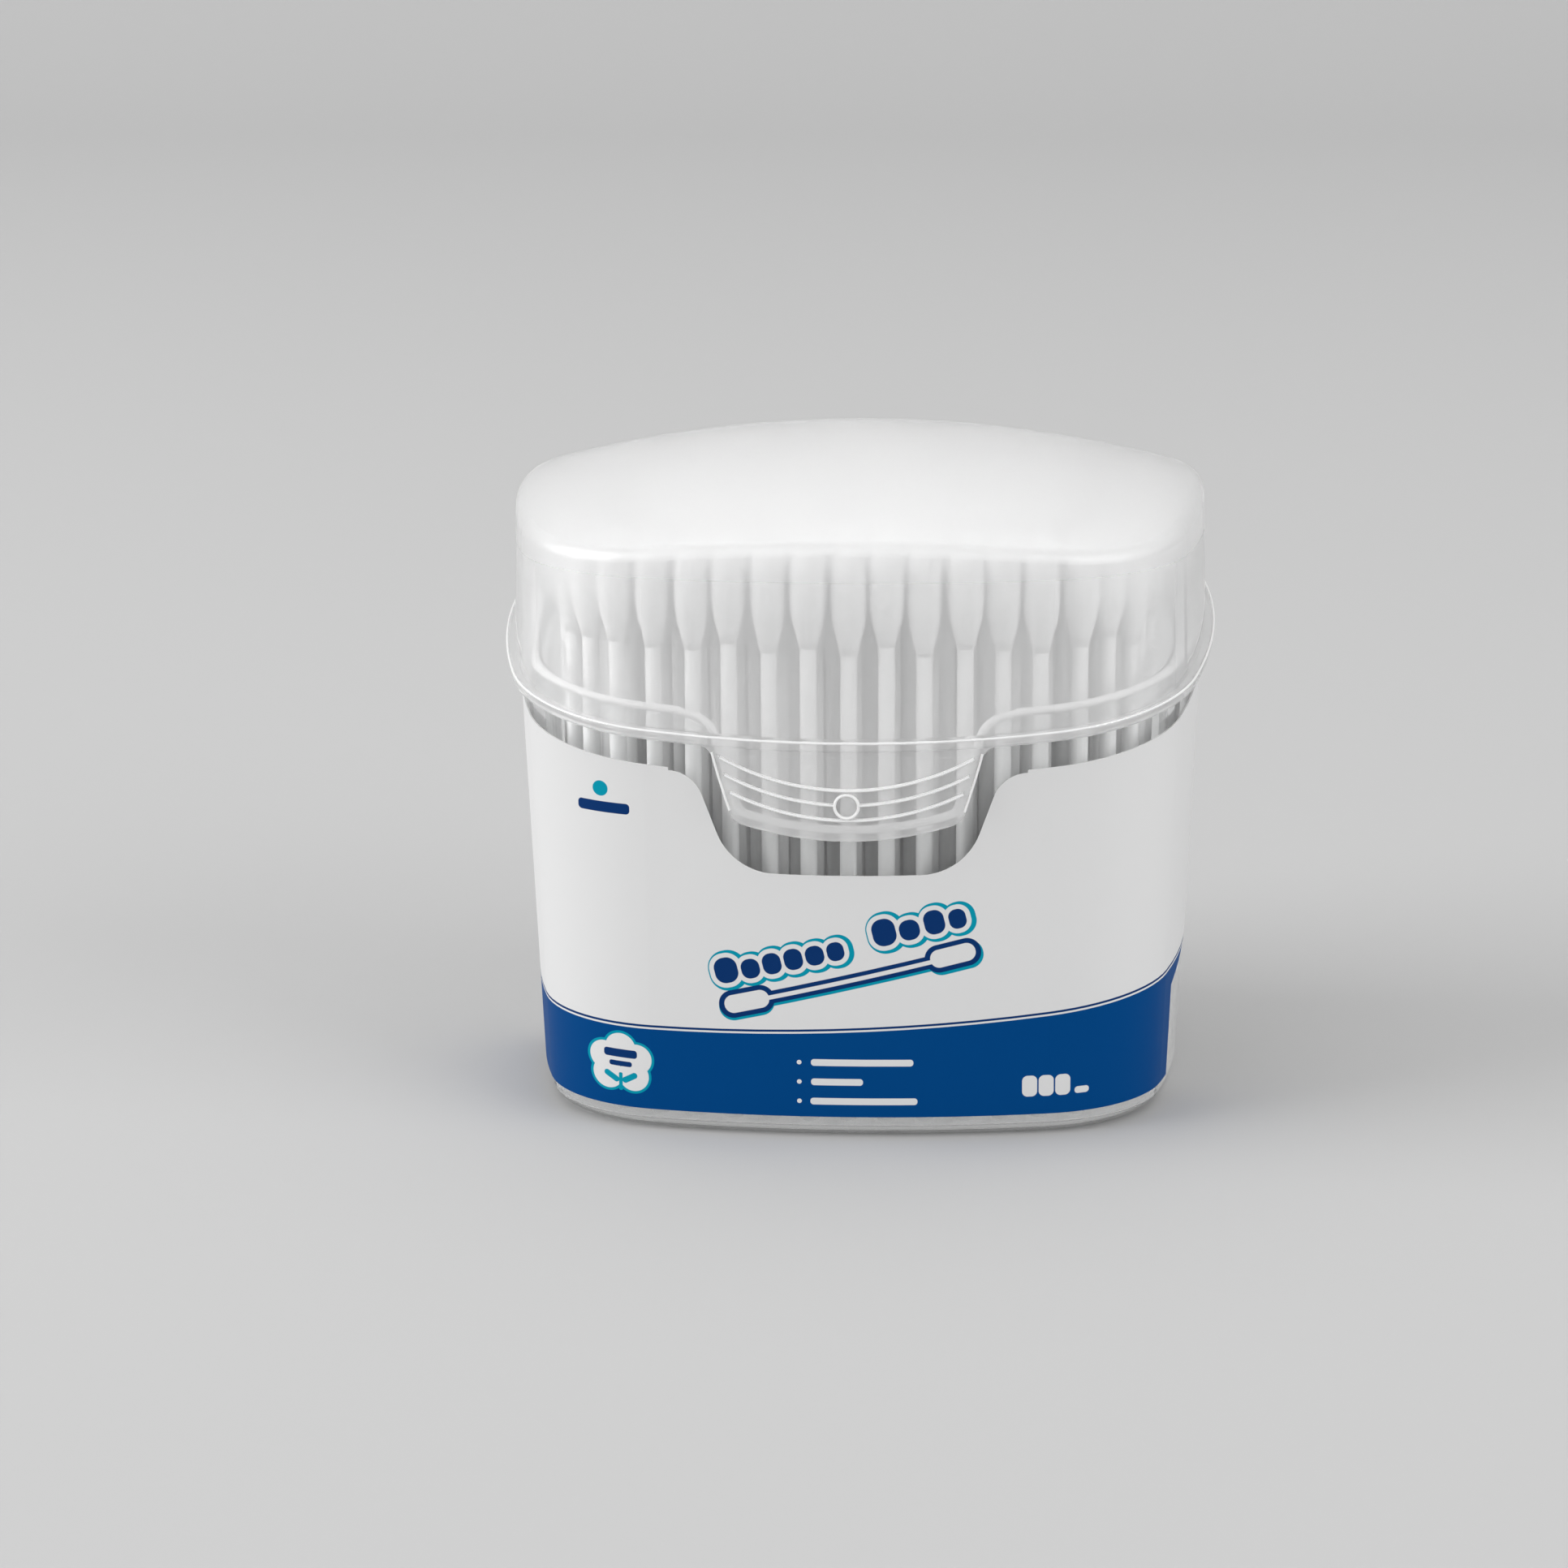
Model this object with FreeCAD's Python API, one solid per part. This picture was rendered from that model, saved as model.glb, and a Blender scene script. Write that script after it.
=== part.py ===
import FreeCAD, Part
import math
import os

# Cotton swab box: a clear tub with a hinged frosted lid, a printed film label and upright swabs.
# Millimetres. +Z is up, the front of the box faces -Y, and the origin is the middle of the base.

os.makedirs("parts", exist_ok=True)

# Plan of the tub, a rounded square with bulging sides, measured at plan_height
half_width = 44.0
half_depth = 40.0
plan_height = 48.0
front_bulge_radius = 128.0
side_bulge_radius = 95.0
plan_corner_radius = 20.4

# Tub
tub_draft = 0.045
tub_wall = 1.5
floor_thickness = 1.3
base_round = 2.4
floor_round = 0.4

# Seam between tub and lid: low at the front, rising to the back, sagging in the middle
seam_front_height = 51.5
seam_rise = 0.128
seam_sag_radius = 500.0
neck_height = 3.5
neck_wall = 0.85
neck_inset = 0.65

# Lid
lid_wall = 1.3
lid_overhang = 1.35
lid_taper = 0.0235
dome_radius_across = 164.0
dome_radius_along = 125.0
lid_top_round = 2.0
bead_lift = 0.2
bead_height = 1.4
bead_out = 1.1
bead_round = 0.35

# Tongue of the lid, which hangs over a notch in the tub
tongue_half_width = 17.3
tongue_slope = 0.30
tongue_drop = 11.6
tongue_bottom_radius = 46.0
tongue_corner_radius = 2.6
tongue_flare_radius = 2.0
notch_margin = 1.0
ridge_count = 3
ridge_radius = 34.0
ridge_first_drop = 5.1
ridge_pitch = 1.9
ridge_width = 0.4
ridge_relief = 0.3
dimple_radius = 1.5
dimple_drop = 7.1
dimple_depth = 0.4
tongue_rib_drop = 1.7
tongue_rib_height = 0.5
tongue_rib_depth = 0.4
notch_flare_radius = 3.0

# Hinge across the back
hinge_out = 2.9
hinge_lift = 1.5
knuckle_radius = 1.9
knuckle_half_length = 12.0
pin_radius = 1.0
pin_fit = 0.06
lug_width = 3.0
lug_side_gap = 0.3
web_thickness = 2.6

# Printed film label round the front
label_thickness = 0.2
label_bottom = 2.8
label_below_seam = 3.8
scoop_half_width = 19.4
scoop_slope = 0.37
scoop_drop = 16.6
scoop_corner_radius = 8.0
scoop_flare_radius = 4.5
scoop_bottom_radius = 400.0
label_right_end = -18.0
label_left_end = 4.0
label_step_low = 15.0
label_step_high = 21.0

# Swabs, standing on the floor: two rings along the wall, and offset rows inside them
swab_length = 74.2
stick_width = 2.1
tip_length = 12.0
tip_width = 3.8
swab_pitch = 4.8
swab_ring_pitch = 4.1
swab_ring_count = 2
swab_row_pitch = 4.15
swab_core_gap = 4.7
swab_wall_room = 0.45
swab_head_room = 0.5

over = 20.0


def vector(x, y, z):
    """A point or direction."""
    return FreeCAD.Vector(x, y, z)


def plan_corner():
    """Centre of the right front corner arc, tangent to the front bulge and to the side bulge.

    It lies (bulge radius - corner radius) from each bulge's centre, so it is where two circles meet.
    """
    front_y = front_bulge_radius - half_depth
    side_x = half_width - side_bulge_radius
    reach_front = front_bulge_radius - plan_corner_radius
    reach_side = side_bulge_radius - plan_corner_radius
    gap = math.hypot(side_x, front_y)
    along = (gap ** 2 + reach_front ** 2 - reach_side ** 2) / (2.0 * gap)
    aside = math.sqrt(reach_front ** 2 - along ** 2)
    ux = side_x / gap
    uy = -front_y / gap
    return along * ux - aside * uy, front_y + along * uy + aside * ux


def dome_drop(x, y):
    """How far the dome's surface lies under its peak at a point of the plan."""
    across = dome_radius_across - math.sqrt(dome_radius_across ** 2 - x ** 2)
    return dome_radius_along - math.sqrt((dome_radius_along - across) ** 2 - y ** 2)


def swab_tip_corner():
    """Place of the outermost swab in the corner of the box: its cotton tip's outer edge."""
    cx, cy = plan_corner()
    reach = plan_corner_radius + floor_offset(swab_wall_room)
    diagonal = math.sqrt(0.5)
    return cx + reach * diagonal, cy - reach * diagonal


def plan_wire(offset, z):
    """Closed outline of the plan at height z, moved outwards by offset. Every arc keeps its centre."""
    front_y = front_bulge_radius - half_depth
    side_x = half_width - side_bulge_radius
    cx, cy = plan_corner()
    to_front = math.atan2(cy - front_y, cx)
    to_side = math.atan2(cy, cx - side_x)
    front_r = front_bulge_radius + offset
    side_r = side_bulge_radius + offset
    corner_r = plan_corner_radius + offset
    arcs = [
        (0.0, front_y, front_r, -math.pi - to_front, to_front),
        (cx, cy, corner_r, to_front, to_side),
        (side_x, 0.0, side_r, to_side, -to_side),
        (cx, -cy, corner_r, -to_side, -to_front),
        (0.0, -front_y, front_r, -to_front, math.pi + to_front),
        (-cx, -cy, corner_r, math.pi + to_front, math.pi + to_side),
        (-side_x, 0.0, side_r, math.pi + to_side, math.pi - to_side),
        (-cx, cy, corner_r, math.pi - to_side, math.pi - to_front),
    ]
    edges = []
    for x, y, radius, start, end in arcs:
        points = []
        for angle in (start, (start + end) / 2.0, end):
            points.append(vector(x + radius * math.cos(angle), y + radius * math.sin(angle), z))
        edges.append(Part.Arc(points[0], points[1], points[2]).toShape())
    return Part.Wire(edges)


def floor_offset(room):
    """Offset from the plan of an outline that runs the distance room inside the tub's wall at the floor."""
    return tub_offset(floor_thickness) - tub_wall - room


def plan_solid(low, low_offset, high, high_offset):
    """Solid between two outlines of the plan, with straight drafted walls."""
    wires = [plan_wire(low_offset, low), plan_wire(high_offset, high)]
    return Part.makeLoft(wires, True, True)


def tub_offset(z):
    """How far the tub's outer wall stands outside the plan at height z."""
    return tub_draft * (z - plan_height)


def lid_offset(z):
    """How far the lid's outer wall stands outside the plan at height z."""
    return lid_overhang - lid_taper * (z - seam_front_height)


def seam_height(x, y):
    """Height of the seam surface."""
    return seam_front_height + seam_rise * (y + half_depth) + x ** 2 / (2.0 * seam_sag_radius)


def above_seam(lift):
    """Block whose underside is the seam surface raised by lift: an arc swept up to the back."""
    reach = half_width + over
    start_y = -half_depth - over
    edge_z = seam_height(reach, start_y) + lift
    middle_z = seam_height(0.0, start_y) + lift
    top_z = lid_height + 3.0 * over
    left = vector(-reach, start_y, edge_z)
    right = vector(reach, start_y, edge_z)
    sag = Part.Arc(left, vector(0.0, start_y, middle_z), right).toShape()
    sides = Part.makePolygon([right, vector(reach, start_y, top_z), vector(-reach, start_y, top_z), left])
    face = Part.Face(Part.Wire([sag] + sides.Edges))
    length = 2.0 * (half_depth + over)
    return face.extrude(vector(0.0, length, seam_rise * length))


def unit(x, z):
    """Direction of length 1 in the XZ plane."""
    size = math.hypot(x, z)
    return x / size, z / size


def apron_solid(half_top, slope, drop, bottom_radius, corner_radius, flare_radius, below, inset):
    """Front cutter in the outline of the tongue: flared top corners, sloping sides, bowed bottom.

    Its top lies the distance below under the seam, and inset draws the whole outline inwards.
    """
    alpha = math.atan(slope)
    nx = math.cos(alpha)
    nz = -math.sin(alpha)
    top = seam_height(half_top, -half_depth) - below
    x0 = half_top - inset / nx
    flare = flare_radius + inset
    corner = corner_radius - inset
    bow = bottom_radius - inset
    bottom = seam_front_height - drop + inset
    flare_x = x0 + flare * (1.0 - math.sin(alpha)) / math.cos(alpha)
    flare_z = top - flare
    mx, mz = unit(-nx, 1.0 - nz)
    start_x = x0 - corner * nx
    start_z = top - corner * nz
    bow_z = bottom + bow
    reach = start_x * nz - (start_z - bow_z) * nx
    size = start_x ** 2 + (start_z - bow_z) ** 2 - (bow - corner) ** 2
    down = -reach + math.sqrt(reach ** 2 - size)
    corner_x = start_x + down * nz
    corner_z = start_z - down * nx
    bx, bz = unit(corner_x, corner_z - bow_z)
    kx, kz = unit(nx + bx, nz + bz)
    right = [
        (flare_x, top),
        (flare_x + flare * mx, flare_z + flare * mz),
        (flare_x - flare * nx, flare_z - flare * nz),
        (corner_x + corner * nx, corner_z + corner * nz),
        (corner_x + corner * kx, corner_z + corner * kz),
        (bow * bx, bow_z + bow * bz),
    ]
    y = -half_depth - over
    points_right = [vector(x, y, z) for x, z in right]
    points_left = [vector(-x, y, z) for x, z in right]
    ceiling = seam_height(flare_x, -half_depth) + over
    edges = [
        Part.Arc(points_right[0], points_right[1], points_right[2]).toShape(),
        Part.makeLine(points_right[2], points_right[3]),
        Part.Arc(points_right[3], points_right[4], points_right[5]).toShape(),
        Part.Arc(points_right[5], vector(0.0, y, bottom), points_left[5]).toShape(),
        Part.Arc(points_left[5], points_left[4], points_left[3]).toShape(),
        Part.makeLine(points_left[3], points_left[2]),
        Part.Arc(points_left[2], points_left[1], points_left[0]).toShape(),
        Part.makeLine(points_left[0], vector(-flare_x, y, ceiling)),
        Part.makeLine(vector(-flare_x, y, ceiling), vector(flare_x, y, ceiling)),
        Part.makeLine(vector(flare_x, y, ceiling), points_right[0]),
    ]
    return Part.Face(Part.Wire(edges)).extrude(vector(0.0, over + half_depth / 2.0, 0.0))


def tongue_solid(inset):
    """Front cutter in the outline of the lid's tongue."""
    return apron_solid(tongue_half_width, tongue_slope, tongue_drop, tongue_bottom_radius,
                       tongue_corner_radius, tongue_flare_radius, 0.0, inset)


def notch_solid():
    """Front cutter of the neck's notch: a little wider than the tongue, flared at the neck's top edge."""
    half_top = tongue_half_width + tongue_slope * neck_height
    return apron_solid(half_top, tongue_slope, tongue_drop, tongue_bottom_radius,
                       tongue_corner_radius, notch_flare_radius, -neck_height, notch_margin)


def hinge_axis():
    """Place of the hinge axis behind the lid's back wall, as y and z."""
    z = seam_height(0.0, half_depth) + hinge_lift
    return half_depth + lid_offset(z) + hinge_out, z


def hinge_cylinder(radius, start, end):
    """Cylinder on the hinge axis between two x values."""
    y, z = hinge_axis()
    return Part.makeCylinder(radius, end - start, vector(start, y, z), vector(1.0, 0.0, 0.0))


def edges_near(shape, low, high):
    """Edges of a shape that lie wholly between two heights and run round it."""
    found = []
    for edge in shape.Edges:
        box = edge.BoundBox
        if box.ZMin > low and box.ZMax < high:
            found.append(edge)
    return found


def tub_block():
    """Solid block with the tub's outer walls, from the base up past the rim."""
    return plan_solid(0.0, tub_offset(0.0), lid_height, tub_offset(lid_height))


def make_tub():
    """Clear tub: drafted walls on a flat floor, a neck that the lid fits over, a notch and two lugs."""
    rim_high = lid_height
    outer = tub_block()
    outer = outer.makeFillet(base_round, edges_near(outer, -0.1, 0.1))
    floor_z = floor_thickness
    neck_inner = -neck_inset - neck_wall
    seam_back = seam_height(half_width, half_depth)
    slope = (neck_inner - tub_offset(floor_z) + tub_wall) / (seam_back - floor_z)
    room = plan_solid(floor_z, tub_offset(floor_z) - tub_wall,
                      rim_high, neck_inner + slope * (rim_high - seam_back))
    room = room.makeFillet(floor_round, edges_near(room, floor_z - 0.1, floor_z + 0.1))
    wall = outer.cut(above_seam(0.0)).cut(tongue_solid(0.0))
    neck = plan_solid(plan_height - tongue_drop, -neck_inset, rim_high, -neck_inset)
    neck = neck.common(outer)
    neck = neck.cut(above_seam(neck_height)).cut(notch_solid())
    tub = wall.fuse(neck).cut(room)
    for side in (-1.0, 1.0):
        tub = tub.fuse(make_lug(side))
    bore = knuckle_half_length + lug_side_gap + lug_width + 1.0
    return tub.cut(hinge_cylinder(pin_radius + pin_fit, -bore, bore)).removeSplitter()


def make_lug(side):
    """Hinge lug that grows out of the tub's back wall, below the seam, and holds one end of the pin."""
    y, z = hinge_axis()
    root_y = half_depth - tub_wall
    shelf_z = seam_height(0.0, root_y) - 0.4
    start = knuckle_half_length + lug_side_gap
    x = start if side > 0.0 else -start - lug_width
    outline = [
        (root_y, shelf_z - 6.5),
        (root_y, shelf_z),
        (y - knuckle_radius - 0.5, shelf_z),
        (y - knuckle_radius, z),
        (y + knuckle_radius, z),
        (y + knuckle_radius, shelf_z - 0.2),
        (root_y, shelf_z - 6.5),
    ]
    face = Part.Face(Part.makePolygon([vector(x, py, pz) for py, pz in outline]))
    plate = face.extrude(vector(lug_width, 0.0, 0.0))
    return plate.fuse(hinge_cylinder(knuckle_radius, x, x + lug_width))


def lid_block(inset):
    """Solid lid block, drawn inwards by inset: tapered walls under a dome, with a rounded top edge."""
    low = seam_front_height - tongue_drop - 5.0
    high = lid_height + 5.0
    block = plan_solid(low, lid_offset(low) - inset, high, lid_offset(high) - inset)
    reach = half_width + over
    peak = lid_height - inset
    radius = dome_radius_across - inset
    edge_z = peak - radius + math.sqrt(radius ** 2 - reach ** 2)
    axis_z = lid_height - dome_radius_along
    left = vector(-reach, 0.0, edge_z)
    right = vector(reach, 0.0, edge_z)
    arch = Part.Arc(left, vector(0.0, 0.0, peak), right).toShape()
    sky_z = lid_height + 3.0 * over
    sides = Part.makePolygon([right, vector(reach, 0.0, sky_z), vector(-reach, 0.0, sky_z), left])
    face = Part.Face(Part.Wire([arch] + sides.Edges))
    face.rotate(vector(0.0, 0.0, axis_z), vector(1.0, 0.0, 0.0), -60.0)
    sky = face.revolve(vector(0.0, 0.0, axis_z), vector(1.0, 0.0, 0.0), 120.0)
    block = block.cut(sky)
    edge_low = lid_height - 2.0 * dome_drop(half_width, half_depth)
    top_edges = edges_near(block, edge_low, high)
    return block.makeFillet(lid_top_round - inset * 0.8, top_edges)


def make_bead():
    """Proud lip round the foot of the lid, left out behind where the hinge is."""
    z = seam_front_height
    back_z = seam_height(half_width, half_depth)
    ring = plan_solid(z - 5.0, lid_offset(z - 5.0) + bead_out, back_z + 10.0, lid_offset(back_z + 10.0) + bead_out)
    ring = ring.common(above_seam(bead_lift)).cut(above_seam(bead_lift + bead_height))
    rounded = []
    for edge in ring.Edges:
        if edge.Length > 5.0 and edge.BoundBox.ZLength < edge.Length:
            rounded.append(edge)
    ring = ring.makeFillet(bead_round, rounded)
    gap = knuckle_half_length + lug_side_gap + lug_width + 0.8
    return ring.cut(Part.makeBox(2.0 * gap, over + half_depth, lid_height, vector(-gap, 10.0, 0.0)))


def make_ridges():
    """Curved thumb ridges that stand out of the tongue's face."""
    skin = lid_block(-ridge_relief).cut(lid_block(0.3))
    skin = skin.common(tongue_solid(0.8))
    y = -half_depth - over
    depth = vector(0.0, over + half_depth / 2.0, 0.0)
    ridges = []
    for index in range(ridge_count):
        low = seam_front_height - ridge_first_drop - index * ridge_pitch
        centre = vector(0.0, y, low + ridge_radius)
        axis = vector(0.0, 1.0, 0.0)
        outer = Part.Face(Part.Wire(Part.makeCircle(ridge_radius + ridge_width / 2.0, centre, axis)))
        inner = Part.Face(Part.Wire(Part.makeCircle(ridge_radius - ridge_width / 2.0, centre, axis)))
        band = outer.cut(inner).extrude(depth)
        lower = Part.makeBox(2.0 * half_width, over + half_depth, ridge_radius,
                             vector(-half_width, y, low - ridge_width))
        ridges.append(skin.common(band).common(lower.cut(above_seam(-1.0))))
    return ridges


def make_lid():
    """Frosted lid: domed shell with a bead, a ridged tongue at the front and a hinge knuckle behind."""
    shell = lid_block(0.0)
    shell = shell.fuse(make_bead())
    shell = shell.cut(lid_block(lid_wall))
    shell = shell.common(above_seam(0.0).fuse(tongue_solid(0.0)))
    for ridge in make_ridges():
        shell = shell.fuse(ridge)
    dimple_z = seam_front_height - dimple_drop
    face_y = -half_depth - lid_offset(dimple_z)
    shell = shell.cut(Part.makeCylinder(dimple_radius, over, vector(0.0, face_y + dimple_depth - over, dimple_z),
                                        vector(0.0, 1.0, 0.0)))
    rib_z = seam_front_height - tongue_rib_drop
    rib_half = tongue_half_width - notch_margin - 1.2
    rib = lid_block(lid_wall - 0.3).cut(lid_block(lid_wall + tongue_rib_depth))
    rib = rib.common(Part.makeBox(2.0 * rib_half, over, tongue_rib_height,
                                  vector(-rib_half, -half_depth - over / 2.0, rib_z)))
    shell = shell.fuse(rib)
    y, z = hinge_axis()
    web_y = half_depth + lid_offset(z) - lid_wall / 2.0
    web = Part.makeBox(2.0 * knuckle_half_length, y - web_y, web_thickness,
                       vector(-knuckle_half_length, web_y, z - web_thickness / 2.0 + 0.2))
    pin_end = knuckle_half_length + lug_side_gap + lug_width
    shell = shell.fuse(web)
    shell = shell.fuse(hinge_cylinder(knuckle_radius, -knuckle_half_length, knuckle_half_length))
    return shell.fuse(hinge_cylinder(pin_radius, -pin_end, pin_end)).removeSplitter()


def make_label():
    """Film label on the tub's front, with a scooped top edge, wrapped past the corners."""
    high = seam_height(half_width, half_depth)
    outer = plan_solid(label_bottom, tub_offset(label_bottom) + label_thickness,
                       high, tub_offset(high) + label_thickness)
    film = outer.cut(tub_block())
    film = film.cut(above_seam(-label_below_seam))
    film = film.cut(apron_solid(scoop_half_width, scoop_slope, scoop_drop, scoop_bottom_radius,
                                scoop_corner_radius, scoop_flare_radius, label_below_seam, 0.0))
    reach = half_width + over
    front = -half_depth - over
    left = Part.makeBox(reach, label_left_end - front, lid_height, vector(-reach, front, 0.0))
    ends = [
        (front, label_bottom - 1.0),
        (label_right_end, label_bottom - 1.0),
        (label_right_end, label_step_low),
        (label_left_end, label_step_high),
        (label_left_end, lid_height),
        (front, lid_height),
        (front, label_bottom - 1.0),
    ]
    face = Part.Face(Part.makePolygon([vector(0.0, y, z) for y, z in ends]))
    right = face.extrude(vector(reach, 0.0, 0.0))
    return film.common(left.fuse(right)).removeSplitter()


def inside_plan(x, y, offset):
    """Whether a point lies inside the plan moved outwards by offset."""
    front_y = front_bulge_radius - half_depth
    side_x = half_width - side_bulge_radius
    cx, cy = plan_corner()
    ax = abs(x)
    ay = -abs(y)
    if math.hypot(ax, ay - front_y) > front_bulge_radius + offset:
        return False
    if math.hypot(ax - side_x, ay) > side_bulge_radius + offset:
        return False
    past_front = ax * (cy - front_y) < cx * (ay - front_y)
    past_side = (ax - side_x) * cy > (cx - side_x) * ay
    if past_front and past_side:
        return math.hypot(ax - cx, ay - cy) <= plan_corner_radius + offset
    return True


def swab_ring(index):
    """Places in one ring of swabs along the wall, each with the angle that turns it to the wall."""
    outline = plan_wire(floor_offset(tip_width / 2.0 + swab_wall_room) - index * swab_ring_pitch, 0.0)
    count = int(outline.Length / swab_pitch)
    points = outline.discretize(count + 1)[:-1]
    places = []
    for number, point in enumerate(points):
        ahead = points[(number + 1) % count]
        behind = points[number - 1]
        angle = math.degrees(math.atan2(ahead.y - behind.y, ahead.x - behind.x))
        places.append((point.x, point.y, angle))
    return places


def swab_rows():
    """Places inside the rings, row by row from the front. Every other row is moved by half a pitch."""
    last_ring = (swab_ring_count - 1) * swab_ring_pitch
    offset = floor_offset(tip_width / 2.0 + swab_wall_room) - last_ring - swab_core_gap
    count = int(2.0 * (half_depth + offset) / swab_row_pitch) + 1
    steps = int(half_width / swab_pitch) + 1
    rows = []
    for index in range(count):
        y = (index - (count - 1) / 2.0) * swab_row_pitch
        shift = swab_pitch / 2.0 if index % 2 else 0.0
        row = []
        for step in range(-steps, steps + 1):
            x = step * swab_pitch + shift
            if inside_plan(x, y, offset):
                row.append((x, y, 0.0))
        if row:
            rows.append(row)
    return rows


def post(place, z, width, height):
    """Square post standing at a place, turned to its angle."""
    x, y, angle = place
    box = Part.makeBox(width, width, height, vector(x - width / 2.0, y - width / 2.0, z))
    box.rotate(vector(x, y, z), vector(0.0, 0.0, 1.0), angle)
    return box


def write_swabs(name, places):
    """Two files for one ring or row of swabs: the paper sticks, and the cotton tips at both their ends."""
    stick_z = floor_thickness + tip_length
    stick_length = swab_length - 2.0 * tip_length
    sticks = []
    tips = []
    for place in places:
        sticks.append(post(place, stick_z, stick_width, stick_length))
        tips.append(post(place, floor_thickness, tip_width, tip_length))
        tips.append(post(place, stick_z + stick_length, tip_width, tip_length))
    Part.makeCompound(sticks).exportStep("parts/swab_sticks_%s.step" % name)
    Part.makeCompound(tips).exportStep("parts/swab_tips_%s.step" % name)


lid_height = (floor_thickness + swab_length + swab_head_room + lid_wall
              + dome_drop(*swab_tip_corner()))

make_tub().exportStep("parts/tub.step")
make_lid().exportStep("parts/lid.step")
make_label().exportStep("parts/label.step")
for ring in range(swab_ring_count):
    write_swabs("ring_%02d" % (ring + 1), swab_ring(ring))
for number, row in enumerate(swab_rows(), start=1):
    write_swabs("row_%02d" % number, row)
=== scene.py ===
import math
import bpy
import numpy as np
from mathutils import Matrix, Vector


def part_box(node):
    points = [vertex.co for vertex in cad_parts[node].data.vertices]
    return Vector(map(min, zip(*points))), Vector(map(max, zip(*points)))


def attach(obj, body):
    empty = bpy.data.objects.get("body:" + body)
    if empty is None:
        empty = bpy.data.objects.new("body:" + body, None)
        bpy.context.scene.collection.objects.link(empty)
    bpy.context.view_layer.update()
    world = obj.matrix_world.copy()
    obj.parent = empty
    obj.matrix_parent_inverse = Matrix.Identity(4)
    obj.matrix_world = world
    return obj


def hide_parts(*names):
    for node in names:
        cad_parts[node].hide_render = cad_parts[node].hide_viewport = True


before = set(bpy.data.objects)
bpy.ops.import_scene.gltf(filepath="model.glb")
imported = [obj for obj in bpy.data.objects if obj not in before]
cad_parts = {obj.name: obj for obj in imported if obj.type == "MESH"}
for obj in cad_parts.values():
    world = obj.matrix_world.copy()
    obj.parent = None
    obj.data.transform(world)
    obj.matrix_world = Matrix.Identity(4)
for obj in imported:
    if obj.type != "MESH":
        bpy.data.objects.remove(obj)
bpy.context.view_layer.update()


# Swabs. Each is a rolled paper stick with a tuft of cotton wound on both ends. They stand loose in the
# tub, so each leans a little its own way and its cotton is wound a little longer or shorter.

mm = 0.001
swab_rng = np.random.default_rng(11)
cotton_shape = {
    "height": np.array([0.0, 0.25, 1.0, 2.6, 6.4, 8.8, 10.6, 12.2, 12.6]) * mm,
    "radius": np.array([0.0, 1.2, 2.0, 2.33, 2.36, 2.05, 1.52, 1.14, 0.0]) * mm,
}
stick_radius = 1.06 * mm
stick_profile = np.array([0.0, 1.0, 1.0, 0.0]) * stick_radius
stick_end_room = 2.0 * mm
swab_sides = 10
lean_share = 0.012
lean_spread = 0.25 * mm


def lathe(height, radius, sides):
    """Closed surface of revolution: x = r cos t, y = r sin t, z = h, over a grid of profile and turn."""
    turn = np.arange(sides) * 2.0 * math.pi / sides
    x = radius[:, None] * np.cos(turn)[None, :]
    y = radius[:, None] * np.sin(turn)[None, :]
    z = np.repeat(height[:, None], sides, axis=1)
    points = np.stack([x, y, z], axis=-1).reshape(-1, 3)
    row = np.arange(len(height) - 1)[:, None] * sides
    here = np.arange(sides)[None, :]
    ahead = (here + 1) % sides
    faces = np.stack([row + here, row + ahead, row + sides + ahead, row + sides + here], axis=-1)
    return points, faces.reshape(-1, 4)


def copies(points, faces, moved):
    """One mesh of many copies: copy k has its own array of moved points and the same faces."""
    shift = np.arange(len(moved))[:, None, None] * len(points)
    return moved.reshape(-1, 3), (faces[None, :, :] + shift).reshape(-1, 4)


def mesh_piece(name, points, faces, material):
    """An object from arrays of points and quads, checked for faults and with smooth faces."""
    mesh = bpy.data.meshes.new(name)
    mesh.from_pydata(points.tolist(), [], faces.tolist())
    mesh.validate()
    mesh.shade_smooth()
    mesh.materials.append(material)
    piece = bpy.data.objects.new(name, mesh)
    bpy.context.scene.collection.objects.link(piece)
    return piece


def new_material(name):
    """An empty material with a Principled shader, its links, and a function that adds nodes."""
    material = bpy.data.materials.new(name)
    material.use_nodes = True
    nodes = material.node_tree.nodes
    links = material.node_tree.links
    shader = nodes["Principled BSDF"]
    return material, nodes, links, shader


def cotton_material():
    """White cotton wool: fully rough, with a soft sheen and a fine fibre bump."""
    material, nodes, links, shader = new_material("cotton wool")
    shader.inputs["Base Color"].default_value = (0.94, 0.94, 0.94, 1.0)
    shader.inputs["Roughness"].default_value = 0.95
    shader.inputs["Sheen Weight"].default_value = 0.1
    place = nodes.new("ShaderNodeTexCoord")
    fibre = nodes.new("ShaderNodeTexNoise")
    fibre.inputs["Scale"].default_value = 1600.0
    fibre.inputs["Detail"].default_value = 3.0
    bump = nodes.new("ShaderNodeBump")
    bump.inputs["Strength"].default_value = 0.25
    bump.inputs["Distance"].default_value = 0.0002
    links.new(place.outputs["Object"], fibre.inputs["Vector"])
    links.new(fibre.outputs["Fac"], bump.inputs["Height"])
    links.new(bump.outputs["Normal"], shader.inputs["Normal"])
    return material


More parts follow.
